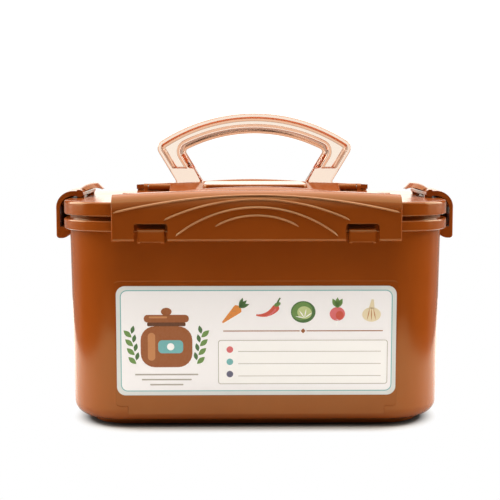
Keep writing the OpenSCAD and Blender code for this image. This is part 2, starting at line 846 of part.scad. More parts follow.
module notches() {
    height = 2 * (notch_rise + long_drop);
    for (sx = [-1, 1]) translate([sx * lug_x, latch_out + latch_t, rim_under_z + notch_rise - height / 2])
        rotate([90, 0, 0]) linear_extrude(3 * latch_t) rounded_rect(notch_w, height, notch_round);
}

module long_latch() {
    color(brown) {
        difference() {
            latch(long_len, bend_r, long_drop, long_heel, long_arch, long_hook, long_tongue, long_tongue_arch);
            post_pockets(long_len, barrel_inset + cut);
            hinge_bore(long_len);
            notches();
        }
        raised_lines();
    }
}

// Side view of the rib that closes a short latch's hollow
module rib_profile() {
    low = rim_under_z - hook_gap - hook_round;
    intersection() {
        translate([rib_gap, low]) square([latch_out, arm_top_z - low]);
        bent_profile(latch_out - latch_t / 2, arm_top_z + short_arch - arm_t / 2, short_bend - latch_t / 2,
            low - cut, -hinge_in);
    }
}

// The posts of a short latch stand in slots, and the latch ends beyond them in ears
module short_latch() {
    color(brown) {
        difference() {
            union() {
                latch(short_len, short_bend, short_drop, short_heel, short_arch, short_len / 2, short_tongue,
                    short_tongue_arch);
                hinge_rod(barrel_r, short_len);
            }
            post_pockets(short_len, post_t + 2 * post_gap);
            hinge_bore(short_len);
        }
        along_x(short_rib) rib_profile();
    }
}

module front_latch() {
    at_edge(FRONT) long_latch();
}

module rear_latch() {
    at_edge(REAR) long_latch();
}

module left_latch() {
    at_edge(LEFT) short_latch();
}

module right_latch() {
    at_edge(RIGHT) short_latch();
}

module latch_pin(length) {
    color(steel) hinge_rod(hinge_pin_r, pin_length(length));
}

module long_latch_pins() {
    for (edge = [FRONT, REAR]) at_edge(edge) latch_pin(long_len);
}

module short_latch_pins() {
    for (edge = [LEFT, RIGHT]) at_edge(edge) latch_pin(short_len);
}

module inner_lid_shell() {
    groove_u = seal_u - seal_deep;
    edge_u = seal_u - flange_back;
    tub_sweep() {
        translate([-tub_corner, inner_z]) square([tub_corner + edge_u, inner_plate_t]);
        translate([groove_u - inner_wall_t, plate_z]) square([inner_wall_t, inner_wall_h]);
        translate([groove_u, plate_z + seal_h]) square([edge_u - groove_u, inner_flange_t]);
    }
    middle_block(tub_w, tub_d, tub_corner, inner_z, plate_z);
}

module pull_axis(r, x0, x1) {
    translate([x0, pull_back, plate_z + pull_pivot]) rotate([0, 90, 0]) cylinder(r = r, h = x1 - x0);
}

// Pivot lug and rest of the pull, on the right
module pull_lug() {
    lug_r = pull_pivot - cut;
    x0 = pull_w / 2 + pull_gap;
    difference() {
        union() {
            pull_axis(lug_r, x0, x0 + pull_lug_w);
            translate([x0, pull_back - lug_r, plate_z]) cube([pull_lug_w, 2 * lug_r, pull_pivot]);
        }
        pull_axis(stub_r + pin_gap, x0 - cut, x0 + pull_lug_w + cut);
    }
    translate([pull_w / 2 - pull_bar, pull_back - pull_reach, plate_z])
        cube([pull_bar, pull_bar, pull_pivot - pull_t / 2]);
}

module inner_lid() {
    color(brown) {
        difference() {
            union() {
                inner_lid_shell();
                translate([0, vent_back, plate_z]) cylinder(r = stem_r + collar_t, h = collar_h);
            }
            translate([0, vent_back, inner_z - cut])
                cylinder(r = stem_r + stem_gap, h = inner_plate_t + collar_h + 2 * cut);
        }
        both_sides() pull_lug();
    }
}

module inner_lid_seal() {
    color(silicone) tub_sweep() {
        translate([seal_u - seal_deep, plate_z]) square([seal_deep - seal_lip, seal_h]);
        polygon([[seal_u - seal_lip, plate_z], [seal_u, plate_z + seal_h / 4],
            [seal_u - seal_lip, plate_z + seal_h / 2]]);
    }
}

module inner_lid_pull() {
    axis_z = plate_z + pull_pivot;
    inside = pull_w / 2 - pull_bar;
    color(brown) {
        translate([0, pull_back, axis_z - pull_t / 2]) linear_extrude(pull_t) {
            for (sx = [0, 1]) mirror([sx, 0]) translate([inside, -pull_reach]) square([pull_bar, pull_reach]);
            translate([-inside, -pull_reach]) square([2 * inside, pull_bar]);
        }
        both_sides() {
            pull_axis(pull_t / 2, inside, pull_w / 2);
            pull_axis(stub_r, pull_w / 2, pull_w / 2 + pull_gap + pull_lug_w);
        }
    }
}

module vent_plug() {
    head_z = plate_z + collar_h;
    color(silicone) translate([0, vent_back, 0]) {
        translate([0, 0, inner_z]) cylinder(r = stem_r, h = head_z - inner_z);
        translate([0, 0, head_z]) cylinder(r = stem_r + head_over, h = head_t);
        translate([0, 0, head_z + head_t]) cylinder(r = knob_r, h = knob_h);
    }
}

tub();
label();
outer_lid();
lid_gasket();
front_latch();
rear_latch();
left_latch();
right_latch();
long_latch_pins();
short_latch_pins();
carry_handle();
handle_pins();
inner_lid();
inner_lid_seal();
inner_lid_pull();
vent_plug();
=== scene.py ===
"""Looks of the fermentation container: materials for its solids, a moulded clear handle, raised arc lines,
a printed label and a plain studio."""

import json
import math

import bpy
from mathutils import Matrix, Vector

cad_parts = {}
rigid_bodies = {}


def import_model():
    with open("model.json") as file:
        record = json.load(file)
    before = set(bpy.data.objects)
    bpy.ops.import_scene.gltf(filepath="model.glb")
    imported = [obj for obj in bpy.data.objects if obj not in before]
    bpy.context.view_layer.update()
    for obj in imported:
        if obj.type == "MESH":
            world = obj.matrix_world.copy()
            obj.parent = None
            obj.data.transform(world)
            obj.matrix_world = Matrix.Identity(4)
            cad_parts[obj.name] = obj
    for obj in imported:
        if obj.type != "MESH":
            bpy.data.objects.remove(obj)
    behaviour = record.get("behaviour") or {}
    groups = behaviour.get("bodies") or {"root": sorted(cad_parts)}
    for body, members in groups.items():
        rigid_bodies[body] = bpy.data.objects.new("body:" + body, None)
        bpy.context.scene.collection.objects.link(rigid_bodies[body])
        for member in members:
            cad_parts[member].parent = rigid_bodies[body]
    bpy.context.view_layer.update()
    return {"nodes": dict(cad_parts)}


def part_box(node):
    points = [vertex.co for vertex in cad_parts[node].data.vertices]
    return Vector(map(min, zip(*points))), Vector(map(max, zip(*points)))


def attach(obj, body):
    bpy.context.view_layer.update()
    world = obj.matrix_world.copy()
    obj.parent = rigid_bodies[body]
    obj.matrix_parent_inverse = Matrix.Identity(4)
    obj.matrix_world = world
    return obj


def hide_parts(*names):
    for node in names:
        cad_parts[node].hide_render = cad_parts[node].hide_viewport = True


MM = 0.001

# Camera, fitted to the photograph's frame of 500 by 500 pixels
IMAGE_PX = 500
FOCAL_PX = 1086
SENSOR_MM = 36
CAMERA_AT = (-0.0127, -0.722, 0.1715)
CAMERA_PITCH_DEG = 5.6
CAMERA_YAW_DEG = 0.785
CAMERA_NEAR = 0.01
CAMERA_FAR = 50

# Table in metres; it ends before the camera
FLOOR_HALF_WIDTH = 0.3
FLOOR_FRONT = -0.32
FLOOR_BACK = 0.45
# Shade on the table: half sizes of its core, reach before and after it turns white, and reach of the
# painted contact shade
SHADE_CORE = (0.068, 0.043, 0.0)
FLOOR_SHADE_REACH = 0.036
FLOOR_WHITE_REACH = 0.047
FLOOR_PAINTED_SHADE_REACH = 0.03

# Lamps in metres and watts
SOFT_BOXES = {
    "top_soft_box": {"at": (0, 0.3, 1.1), "to": (0, 0.3, 0), "size": (2.4, 2.0), "watts": 30},
    "left_soft_box": {"at": (-1.25, 0.25, 0.6), "to": (0, 0, 0.09), "size": (1.1, 1.1), "watts": 27},
    "right_soft_box": {"at": (1.25, 0.25, 0.6), "to": (0, 0, 0.09), "size": (1.1, 1.1), "watts": 23},
}
LIGHT_TINT = (255, 248, 236)

# Room: the ceiling's brightness from the horizon up, and its fade to the sides by the square of X
ROOM_LOW = 0.03
ROOM_CEILING = 1.2
ROOM_STRIP_FROM = 0.05
ROOM_STRIP_TO = 0.25
ROOM_SIDE_SHARE = 0.2
# Glow behind: brightness above and below the horizon, and where it fades in by Y
ROOM_BEHIND = 1.85
ROOM_BEHIND_LOW = 0.25
ROOM_BEHIND_FROM = 0.92
ROOM_BEHIND_TO = 0.985
ROOM_HORIZON = 0.03
# Pale sweep below the horizon, and where it fades in by Y
ROOM_SWEEP = 0.4
ROOM_SWEEP_FROM = 0.1
ROOM_SWEEP_TO = 0.5
# What the clear handle lets through: its least brightness, and where it rises to white by Y
ROOM_THROUGH_CLEAR = 0.55
ROOM_THROUGH_FROM = 0.6
ROOM_THROUGH_TO = 0.97

# Colours from 0 to 255, chosen to look like the photograph's under this slightly warm light
WHITE = (255, 255, 255)
TABLE = (246, 246, 246)
TABLE_DEEP = (243, 243, 243)
BROWN = (146, 70, 20)
BROWN_DEEP = (139, 65, 17)
BROWN_GLOSS = (255, 248, 190)
SILICONE = (228, 223, 212)
SILICONE_DEEP = (214, 208, 196)
STEEL = (196, 196, 194)
STEEL_DEEP = (168, 168, 166)
PAPER = (216, 222, 224)
HANDLE_TINT = (255, 250, 247)
# The handle's edge tint is a painted reflection of the brown lid.
HANDLE_PAINTED_REFLECTION_TINT = (238, 182, 148)
HANDLE_DEPTH_TINT = (255, 206, 172)
# How far the raised lines are nearer to white as a painted highlight, and how far the ink's mottling is
# nearer to white
LINE_PAINTED_HIGHLIGHT = 0.2
INK_PALER = 0.06
# Clear plastic: how far a face turns away while the edge tint, a painted reflection of the brown lid, comes
# in, and how fast depth tints
HANDLE_PAINTED_REFLECTION_FROM = 0.01
HANDLE_PAINTED_REFLECTION_TO = 0.3
HANDLE_DEPTH_DENSITY = 22
# Radius in millimetres over which sharp edges are shaded round
EDGE_SHADE_MM = 0.4
LINE_EDGE_SHADE_MM = 0.04
EDGE_SAMPLES = 6

BROWN_NODES = (
    "tub",
    "outer_lid",
    "front_latch",
    "rear_latch",
    "left_latch",
    "right_latch",
    "inner_lid",
    "inner_lid_pull",
)
SILICONE_NODES = ("lid_gasket", "inner_lid_seal", "vent_plug")
STEEL_NODES = ("long_latch_pins", "short_latch_pins", "handle_pins")

# Carry handle in millimetres, the same as in the solid; heights are above its pivot
PIVOT_Z = 143.0
ARC_CENTRE = -65.0
OUTER_R = 113.5
INNER_R = 100.1
FOOT_IN = 33.8
FOOT_OUT = 52.0
LEAN_START = 4.0
LEAN = math.radians(31)
SHOULDER_R = 6.0
INNER_CORNER_R = 2.0
HANDLE_HALF_T = 5.5
OUTER_RAIL = 3.0
INNER_RAIL = 4.8
CHANNEL_DEEP = 3.2
CHANNEL_START = 12.5
PIN_BORE_R = 2.05
BORE_SIDES = 48
BORE_OVERRUN = 1.2
# Handle's section: draft of its sides from the parting line, rounds of the rails, and sloped channel walls
PARTING_HALF = 0.3
SIDE_DRAFT = 0.45
FOOT_ROUND = 1.2
OUTER_ROUND = 1.2
INNER_ROUND = 4.6
CHANNEL_ROUND = 0.8
CHANNEL_CORNER = 0.4
OUTER_WALL_TILT = math.radians(50)
INNER_WALL_TILT = math.radians(65)
RAIL_CREST = 0.2
ROUND_STEPS = 4
DOME_STEPS = 8
# Stations along half the handle; the channel ends in steps of height and share of its depth
FOOT_ANGLES_DEG = (87, 75, 60, 45, 30, 15)
FOOT_HEIGHTS = (0.0, 2.0, LEAN_START, 8.0)
CHANNEL_END = ((-0.5, 0.0), (-0.2, 0.04), (0.0, 0.3), (0.15, 0.7), (0.35, 0.96), (0.7, 1.0))
LEG_STEPS = 5
SHOULDER_STEPS = 10
ARC_STEPS = 60
SHARP_DEG = 50

# Long latch's face in millimetres, the same as in the solid
LATCH_FACE = 90.6
LATCH_TOP = 144.1
LATCH_ARCH_R = 1390.7
BEND_R = 9.5
# Raised arc lines: height of the top and of the ends above the rim band's underside, and half width
RIM_UNDER_Z = 119.5
LINES = ((21.6, 11.9, 83.0), (19.4, 7.8, 53.4), (14.8, -1.2, 46.5), (10.1, 4.3, 23.3))
# Section of a raised line: up from its middle, and height
LINE_SECTION = (
    (0.95, 0.0),
    (0.82, 0.09),
    (0.28, 0.74),
    (0.12, 0.86),
    (-0.04, 0.89),
    (-0.2, 0.8),
    (-0.34, 0.34),
    (-0.44, 0.0),
)
LINE_SINK = 0.06
LINE_OVERRUN = 1.2
LINE_TAPER = 4.0
LINE_TIP = 0.02
LINE_STEPS = 72

# Label in millimetres: u to the right and v up from its middle
LABEL_W = 168.0
LABEL_H = 66.5
LABEL_CORNER = 5.3
LABEL_MARGIN = 2.4
BORDER_WIDTH = 0.55
PRINT_LIFT = 0.02
FRONT_FACING = -0.9
CROCK_AT = (-54, -3.5)
SPRIG_PAIRS = 4
FIRST_VEGETABLE_AT = (-13, 17.5)
VEGETABLES_APART = 20.5
RULE_AT = (28, 6)
WRITING_AT = (28, -13)
# Blunt start of a tapering shape: share of its length, and share of its width at the very start, squared
BLUNT_SHARE = 0.12
BLUNT_START = 0.15
INKS = {
    "ground": (247, 247, 253),
    "teal": (112, 178, 182),
    "white": (251, 252, 255),
    "grey": (172, 168, 160),
    "brown": (150, 86, 46),
    "tan": (192, 130, 82),
    "dark": (96, 56, 34),
    "red": (206, 84, 68),
    "rose": (216, 108, 112),
    "orange": (222, 138, 62),
    "green": (104, 142, 74),
    "leaf": (70, 108, 60),
    "pale": (190, 204, 142),
    "cream": (234, 220, 186),
    "slate": (92, 92, 118),
}


def linear_channel(value):
    """One channel of a written colour, from 0 to 255, as linear light."""
    share = value / 255
    if share <= 0.04045:
        return share / 12.92
    return ((share + 0.055) / 1.055) ** 2.4


def linear(colour):
    """A written colour as linear light with full alpha."""
    return tuple(linear_channel(value) for value in colour) + (1.0,)


def paler(colour, share):
    """A written colour brought nearer to white."""
    return tuple(value + (255 - value) * share for value in colour)


def map_range(tree, source, start, end, low, high, course="LINEAR"):
    """A value between start and end, brought to the range from low to high."""
    node = tree.nodes.new("ShaderNodeMapRange")
    node.interpolation_type = course
    node.inputs["From Min"].default_value = start
    node.inputs["From Max"].default_value = end
    node.inputs["To Min"].default_value = low
    node.inputs["To Max"].default_value = high
    tree.links.new(source, node.inputs["Value"])
    return node.outputs["Result"]


def combined(tree, operation, first, second):
    """Two values brought together by an operation."""
    node = tree.nodes.new("ShaderNodeMath")
    node.operation = operation
    tree.links.new(first, node.inputs[0])
    tree.links.new(second, node.inputs[1])
    return node.outputs["Value"]


def vector_step(tree, operation, source, operand=(0, 0, 0)):
    """A node that changes a vector by an operation."""
    node = tree.nodes.new("ShaderNodeVectorMath")
    node.operation = operation
    tree.links.new(source, node.inputs[0])
    node.inputs[1].default_value = operand
    return node


def colour_mix(tree, share, first, second):
    """A colour between two written ones."""
    node = tree.nodes.new("ShaderNodeMix")
    node.data_type = "RGBA"
    colours = [socket for socket in node.inputs if socket.type == "RGBA"]
    colours[0].default_value = linear(first)
    colours[1].default_value = linear(second)
    tree.links.new(share, node.inputs["Factor"])
    return [socket for socket in node.outputs if socket.type == "RGBA"][0]


class Surface:
    """A material with its main shader, and short ways to add nodes to it."""

    def __init__(self, name):
        self.material = bpy.data.materials.new(name)
        self.material.use_nodes = True
        self.tree = self.material.node_tree
        self.shader = self.tree.nodes["Principled BSDF"]
        self.output = self.tree.nodes["Material Output"]
        self.place = self.tree.nodes.new("ShaderNodeTexCoord").outputs["Object"]

    def sockets(self):
        """The shader's sockets by plain names: base_color stands for Base Color."""
        return {socket.name.lower().replace(" ", "_"): socket for socket in self.shader.inputs}

    def values(self, **named):
        """Sets constant values on the shader's own sockets."""
        for name, value in named.items():
            self.sockets()[name].default_value = value

    def feed(self, **named):
        """Links node outputs to the shader's sockets."""
        for name, source in named.items():
            self.link(source, self.sockets()[name])

    def link(self, output, target):
        """Links a node's output to a socket."""
        self.tree.links.new(output, target)

    def stretched(self, scale):
        """The place on the piece, stretched by a scale for each axis."""
        mapping = self.tree.nodes.new("ShaderNodeMapping")
        mapping.inputs["Scale"].default_value = scale
        self.link(self.place, mapping.inputs["Vector"])
        return mapping.outputs["Vector"]

    def noise(self, per_metre, detail, stretch=None):
        """Cloudy noise with so many features in a metre."""
        node = self.tree.nodes.new("ShaderNodeTexNoise")
        node.inputs["Scale"].default_value = per_metre
        node.inputs["Detail"].default_value = detail
        self.link(self.stretched(stretch) if stretch else self.place, node.inputs["Vector"])
        return node.outputs["Fac"]

    def spread(self, source, low, high, start=0.2, end=0.8):
        """A value, by default a noise's, brought to the range from low to high."""
        return map_range(self.tree, source, start, end, low, high)

    def mottled(self, noise, first, second):
        """A colour that a noise moves between two written ones."""
        return colour_mix(self.tree, self.spread(noise, 0, 1), first, second)

    def soft_edges(self, radius_mm):
        """Normals that turn smoothly over sharp edges."""
        node = self.tree.nodes.new("ShaderNodeBevel")
        node.samples = EDGE_SAMPLES
        node.inputs["Radius"].default_value = radius_mm * MM
        return node.outputs["Normal"]

    def bump(self, height, depth_mm, strength, under=None):
        """Relief of a depth in millimetres, laid over another relief if one is given."""
        node = self.tree.nodes.new("ShaderNodeBump")
        node.inputs["Strength"].default_value = strength
        node.inputs["Distance"].default_value = depth_mm * MM
        self.link(height, node.inputs["Height"])
        if under:
            self.link(under, node.inputs["Normal"])
        return node.outputs["Normal"]


def brown_plastic(name, edge_mm, painted_highlight_share):
    """Glossy moulded polypropylene: slightly cloudy, with varied gloss, fine grain and shallow waves, made
    paler by a share as a painted highlight.
    """
    surface = Surface(name)
    surface.values(ior=1.49, specular_tint=linear(BROWN_GLOSS))
    cloud = surface.noise(per_metre=26, detail=4)
    gloss = surface.noise(per_metre=70, detail=5)
    swell = surface.noise(per_metre=22, detail=1)
    grain = surface.noise(per_metre=2600, detail=2)
    waves = surface.bump(swell, depth_mm=0.1, strength=0.25, under=surface.soft_edges(edge_mm))
    surface.feed(
        base_color=surface.mottled(cloud, paler(BROWN_DEEP, painted_highlight_share), paler(BROWN, painted_highlight_share)),
        roughness=surface.spread(gloss, low=0.13, high=0.19),
        normal=surface.bump(grain, depth_mm=0.01, strength=0.2, under=waves),
    )
    return surface.material


def clear_plastic():
    """Clear tinted plastic, deeper in colour with depth, with an orange tint on faces that turn away as a
    painted reflection of the brown lid, and faint flow marks.
    """
    surface = Surface("clear_plastic")
    surface.values(ior=1.49, transmission_weight=1.0)
    turned = surface.tree.nodes.new("ShaderNodeLayerWeight").outputs["Facing"]
    # Faces that turn away get the edge tint: a painted reflection of the brown lid.
    edge = surface.spread(turned, 0, 1, HANDLE_PAINTED_REFLECTION_FROM, HANDLE_PAINTED_REFLECTION_TO)
    depth = surface.tree.nodes.new("ShaderNodeVolumeAbsorption")
    depth.inputs["Color"].default_value = linear(HANDLE_DEPTH_TINT)
    depth.inputs["Density"].default_value = HANDLE_DEPTH_DENSITY
    surface.link(depth.outputs["Volume"], surface.output.inputs["Volume"])
    flow = surface.noise(per_metre=60, detail=3, stretch=(1, 0.4, 1))
    surface.feed(
        base_color=colour_mix(surface.tree, edge, HANDLE_TINT, HANDLE_PAINTED_REFLECTION_TINT),
        roughness=surface.spread(flow, low=0.01, high=0.06),
        normal=surface.bump(flow, depth_mm=0.05, strength=0.12),
    )
    return surface.material


def silicone():
    """Milky silicone, matt with a fine grain."""
    surface = Surface("silicone")
    surface.values(ior=1.41, subsurface_weight=0.3, subsurface_scale=0.002)
    cloud = surface.noise(per_metre=120, detail=3)
    grain = surface.noise(per_metre=1800, detail=2)
    surface.feed(
        base_color=surface.mottled(cloud, SILICONE_DEEP, SILICONE),
        roughness=surface.spread(cloud, low=0.45, high=0.6),
        normal=surface.bump(grain, depth_mm=0.02, strength=0.4),
    )
    return surface.material


def steel():
    """Drawn steel pin stock, with fine lines along the pins."""
    surface = Surface("steel")
    surface.values(metallic=1.0)
    lines = surface.noise(per_metre=900, detail=3, stretch=(1, 0.05, 1))
    surface.feed(
        base_color=surface.mottled(lines, STEEL_DEEP, STEEL),
        roughness=surface.spread(lines, low=0.25, high=0.4),
        normal=surface.bump(lines, depth_mm=0.01, strength=0.4),
    )
    return surface.material


def printed(name, colour):
    """Ink on coated paper: slight mottling, a satin gloss and the paper's fibres."""
    surface = Surface(name)
    surface.values(ior=1.5, specular_ior_level=0.35)
    mottle = surface.noise(per_metre=700, detail=3)
    fibre = surface.noise(per_metre=3000, detail=2, stretch=(1, 1, 0.5))
    surface.feed(
        base_color=surface.mottled(mottle, colour, paler(colour, INK_PALER)),
        roughness=surface.spread(fibre, low=0.42, high=0.55),
        normal=surface.bump(fibre, depth_mm=0.006, strength=0.3),
    )
    return surface.material


def add_piece(name, points, faces, material, body):
    """A smooth mesh from points in millimetres, riding on a body."""
    mesh = bpy.data.meshes.new(name)
    mesh.from_pydata([Vector(point) * MM for point in points], [], faces)
    mesh.shade_smooth()
    mesh.materials.append(material)
    piece = bpy.data.objects.new(name, mesh)
    bpy.context.scene.collection.objects.link(piece)
    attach(piece, body)
    return piece


def give_material(frame, node, material):
    """A carried-over solid keeps its shape and gets a material."""
    piece = frame["nodes"][node]
    piece.data.materials.clear()
    piece.data.materials.append(material)


def loft_faces(rings, ring_size, closed):
    """Four-sided faces between neighbouring rings of points, each ring closed or open."""
    sides = ring_size if closed else ring_size - 1
    faces = []
    for ring in range(rings - 1):
        for side in range(sides):
            after = (side + 1) % ring_size
            low = ring * ring_size
            high = low + ring_size
            faces.append((low + side, low + after, high + after, high + side))
    return faces


def foot_stations():
    """Stations of a foot and leg: height, half thickness and share of the channel's depth."""
    stations = []
    for angle_deg in FOOT_ANGLES_DEG:
        angle = math.radians(angle_deg)
        stations.append((-HANDLE_HALF_T * math.sin(angle), HANDLE_HALF_T * math.cos(angle), 0.0))
    for height in FOOT_HEIGHTS:
        stations.append((height, HANDLE_HALF_T, 0.0))
    for step, share in CHANNEL_END:
        stations.append((CHANNEL_START + step, HANDLE_HALF_T, share))
    return stations


def corner_round(base, reach, turn):
    """Centre of the round between a leaning leg line and an arc."""
    slope = math.tan(LEAN)
    line = base - LEAN_START * slope - turn / math.cos(LEAN)
    square_term = 1 + slope * slope
    half_term = line * slope - ARC_CENTRE
    rest = line * line + ARC_CENTRE * ARC_CENTRE - (reach - turn) ** 2
    height = (-half_term + math.sqrt(half_term * half_term - square_term * rest)) / square_term
    return line + height * slope, height


def handle_line(set_in, from_outer):
    """Points of a line along the right half of the handle, set in from its outer or inner edge."""
    inward = -1 if from_outer else 1
    base = (FOOT_OUT if from_outer else FOOT_IN) + inward * set_in / math.cos(LEAN)
    reach = (OUTER_R if from_outer else INNER_R) + inward * set_in
    turn = SHOULDER_R - set_in if from_outer else INNER_CORNER_R + set_in
    centre_x, centre_z = corner_round(base, reach, turn)
    points = []
    for height, _, _ in foot_stations():
        points.append((base + max(height - LEAN_START, 0) * math.tan(LEAN), height))
    leg_x, leg_z = points[-1]
    start_x = centre_x + turn * math.cos(LEAN)
    start_z = centre_z - turn * math.sin(LEAN)
    for step in range(1, LEG_STEPS):
        share = step / LEG_STEPS
        points.append((leg_x + (start_x - leg_x) * share, leg_z + (start_z - leg_z) * share))
    arc_angle = math.atan2(centre_z - ARC_CENTRE, centre_x)
    for step in range(SHOULDER_STEPS):
        angle = -LEAN + (arc_angle + LEAN) * step / SHOULDER_STEPS
        points.append((centre_x + turn * math.cos(angle), centre_z + turn * math.sin(angle)))
    for step in range(ARC_STEPS + 1):
        angle = arc_angle + (math.pi / 2 - arc_angle) * step / ARC_STEPS
        points.append((reach * math.cos(angle), ARC_CENTRE + reach * math.sin(angle)))
    return points


def foot_round(offset):
    """Depth of the small round along a foot's edges, at an offset from its start."""
    left = max(FOOT_ROUND - offset, 0)
    return FOOT_ROUND - math.sqrt(FOOT_ROUND**2 - left**2)


def rail_section(rail, rail_round, wall_tilt):
    """Section of one rail and its channel wall: distance from the edge, depth, and depth by the channel."""
    section = [(0.0, HANDLE_HALF_T - PARTING_HALF, 0.0)]
    edge = rail - CHANNEL_ROUND
    dome = math.acos(max(1 - (edge - SIDE_DRAFT - RAIL_CREST) / rail_round, 0))
    for step in range(DOME_STEPS + 1):
        angle = dome * step / DOME_STEPS
        offset = rail_round * (1 - math.cos(angle))
        deep = rail_round * (math.sin(dome) - math.sin(angle))
        section.append((SIDE_DRAFT + offset, foot_round(offset), deep - foot_round(offset)))
    for step in range(ROUND_STEPS + 1):
        angle = wall_tilt * step / ROUND_STEPS
        section.append((edge + CHANNEL_ROUND * math.sin(angle), 0.0, CHANNEL_ROUND * (1 - math.cos(angle))))
    rounds = CHANNEL_ROUND + CHANNEL_CORNER
    wall_rise = CHANNEL_DEEP - rounds * (1 - math.cos(wall_tilt))
    foot = edge + rounds * math.sin(wall_tilt) + wall_rise / math.tan(wall_tilt)
    for step in range(ROUND_STEPS + 1):
        angle = wall_tilt * (1 - step / ROUND_STEPS)
        deep = CHANNEL_DEEP - CHANNEL_CORNER * (1 - math.cos(angle))
        section.append((foot - CHANNEL_CORNER * math.sin(angle), 0.0, deep))
    return section


def section_lines():
    """Lines of the handle's section from outer to inner edge: points, depth, and depth by the channel."""
    lines = []
    for set_in, deep, by_channel in rail_section(OUTER_RAIL, OUTER_ROUND, OUTER_WALL_TILT):
        lines.append((handle_line(set_in, True), deep, by_channel))
    for set_in, deep, by_channel in reversed(rail_section(INNER_RAIL, INNER_ROUND, INNER_WALL_TILT)):
        lines.append((handle_line(set_in, False), deep, by_channel))
    return lines


def handle_rings():
    """Closed rings of points round the handle's section, from the left foot to the right one."""
    lines = section_lines()
    count = len(lines[0][0])
    stations = foot_stations()
    rings = []
    for index in range(count):
        thick, share = stations[index][1:] if index < len(stations) else (HANDLE_HALF_T, 1.0)
        front = []
        for points, deep, by_channel in lines:
            x, height = points[index]
            out = thick * (1 - deep / HANDLE_HALF_T) - by_channel * share
            front.append((x, -out, PIVOT_Z + height))
        back = [(x, -y, z) for x, y, z in front[::-1]]
        rings.append(front + back)
    mirrored = [[(-x, y, z) for x, y, z in ring] for ring in rings[:-1]]
    return mirrored + rings[::-1]


def bore_bars():
    """Two round bars where the pivot pins run through the feet."""
    bars = []
    for side in (-1, 1):
        bpy.ops.mesh.primitive_cylinder_add(
            vertices=BORE_SIDES,
            radius=PIN_BORE_R * MM,
            depth=BORE_OVERRUN * (FOOT_OUT - FOOT_IN) * MM,
            location=(side * (FOOT_IN + FOOT_OUT) / 2 * MM, 0, PIVOT_Z * MM),
            rotation=(0, math.pi / 2, 0),
        )
        bars.append(bpy.context.object)
    return bars


def cut_bores(piece):
    """Takes the pin bores out of the handle's feet."""
    bars = bore_bars()
    for bar in bars:
        cut = piece.modifiers.new("bore", "BOOLEAN")
        cut.operation = "DIFFERENCE"
        cut.solver = "EXACT"
        cut.object = bar
    scene_state = bpy.context.evaluated_depsgraph_get()
    bored = bpy.data.meshes.new_from_object(piece.evaluated_get(scene_state))
    piece.modifiers.clear()
    piece.data = bored
    for bar in bars:
        bpy.data.objects.remove(bar)


def add_handle():
    """The clear handle with rounded rails, a channel in each face and bores for its pins."""
    rings = handle_rings()
    size = len(rings[0])
    points = [point for ring in rings for point in ring]
    faces = loft_faces(len(rings), size, True)
    faces.append(tuple(reversed(range(size))))
    faces.append(tuple(range(len(points) - size, len(points))))
    piece = add_piece("carry_handle_moulded", points, faces, clear_plastic(), "carry_handle")
    cut_bores(piece)
    piece.data.set_sharp_from_angle(angle=math.radians(SHARP_DEG))
    weighted = piece.modifiers.new("flat_faces", "WEIGHTED_NORMAL")
    weighted.keep_sharp = True
    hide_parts("carry_handle")


def latch_skin(x, z):
    """A point of the long front latch's face and its outward direction."""
    top = LATCH_TOP - (LATCH_ARCH_R - math.sqrt(LATCH_ARCH_R**2 - x * x))
    over = max(z - (top - BEND_R), 0)
    tilt = math.asin(min(over / BEND_R, 1))
    point = Vector((x, -LATCH_FACE + BEND_R * (1 - math.cos(tilt)), z))
    return point, Vector((0, -math.cos(tilt), math.sin(tilt)))


def line_rings(top, end, half):
    """Open rings of points across one raised line, along its arc."""
    rise = top - end
    radius = (half * half + rise * rise) / (2 * rise)
    reach = half + LINE_OVERRUN
    rings = []
    for step in range(LINE_STEPS + 1):
        x = reach * (2 * step / LINE_STEPS - 1)
        lean = math.asin(x / radius)
        z = RIM_UNDER_Z + top - radius * (1 - math.cos(lean))
        from_end = min(reach - abs(x), LINE_TAPER) / LINE_TAPER
        full = math.sqrt(max(1 - (1 - from_end) ** 2, LINE_TIP**2))
        ring = []
        for up, height in LINE_SECTION:
            across = up * full
            point, outward = latch_skin(x + across * math.sin(lean), z + across * math.cos(lean))
            ring.append(point + outward * (height * full - LINE_SINK))
        rings.append(ring)
    return rings


def add_lines(material):
    """Rounded raised lines over the latches' arcs, on the front and, turned about, on the rear."""
    points = []
    faces = []
    for line in LINES:
        rings = line_rings(*line)
        start = len(points)
        points += [point for ring in rings for point in ring]
        for face in loft_faces(len(rings), len(rings[0]), False):
            faces.append(tuple(start + corner for corner in face))
    turned = [(-point.x, -point.y, point.z) for point in points]
    add_piece("front_latch_lines", points, faces, material, "front_latch")
    add_piece("rear_latch_lines", turned, faces, material, "rear_latch")


def placed(outline, u, v, turn_deg):
    """An outline turned about its own origin and moved to a place."""
    right = math.cos(math.radians(turn_deg))
    up = math.sin(math.radians(turn_deg))
    return [(u + along * right - across * up, v + along * up + across * right) for along, across in outline]


def ellipse(u, v, half_u, half_v, turn_deg=0, steps=28):
    """Points of an ellipse, turned about its middle."""
    angles = [2 * math.pi * step / steps for step in range(steps)]
    outline = [(half_u * math.cos(angle), half_v * math.sin(angle)) for angle in angles]
    return placed(outline, u, v, turn_deg)


def rounded_rect(u, v, width, height, radius, steps=6):
    """Points of a rectangle with rounded corners."""
    points = []
    for corner, (side_u, side_v) in enumerate(((1, 1), (-1, 1), (-1, -1), (1, -1))):
        middle_u = u + side_u * (width / 2 - radius)
        middle_v = v + side_v * (height / 2 - radius)
        for step in range(steps + 1):
            angle = math.pi / 2 * (corner + step / steps)
            points.append((middle_u + radius * math.cos(angle), middle_v + radius * math.sin(angle)))
    return points


def leaf(u, v, length, half_width, turn_deg, steps=10):
    """Points of a leaf that starts at a point and runs in a direction."""
    shares = [step / steps for step in range(steps + 1)]
    side = [(length * share, half_width * math.sin(math.pi * share)) for share in shares]
    other_side = [(along, -across) for along, across in side[-2:0:-1]]
    return placed(side + other_side, u, v, turn_deg)


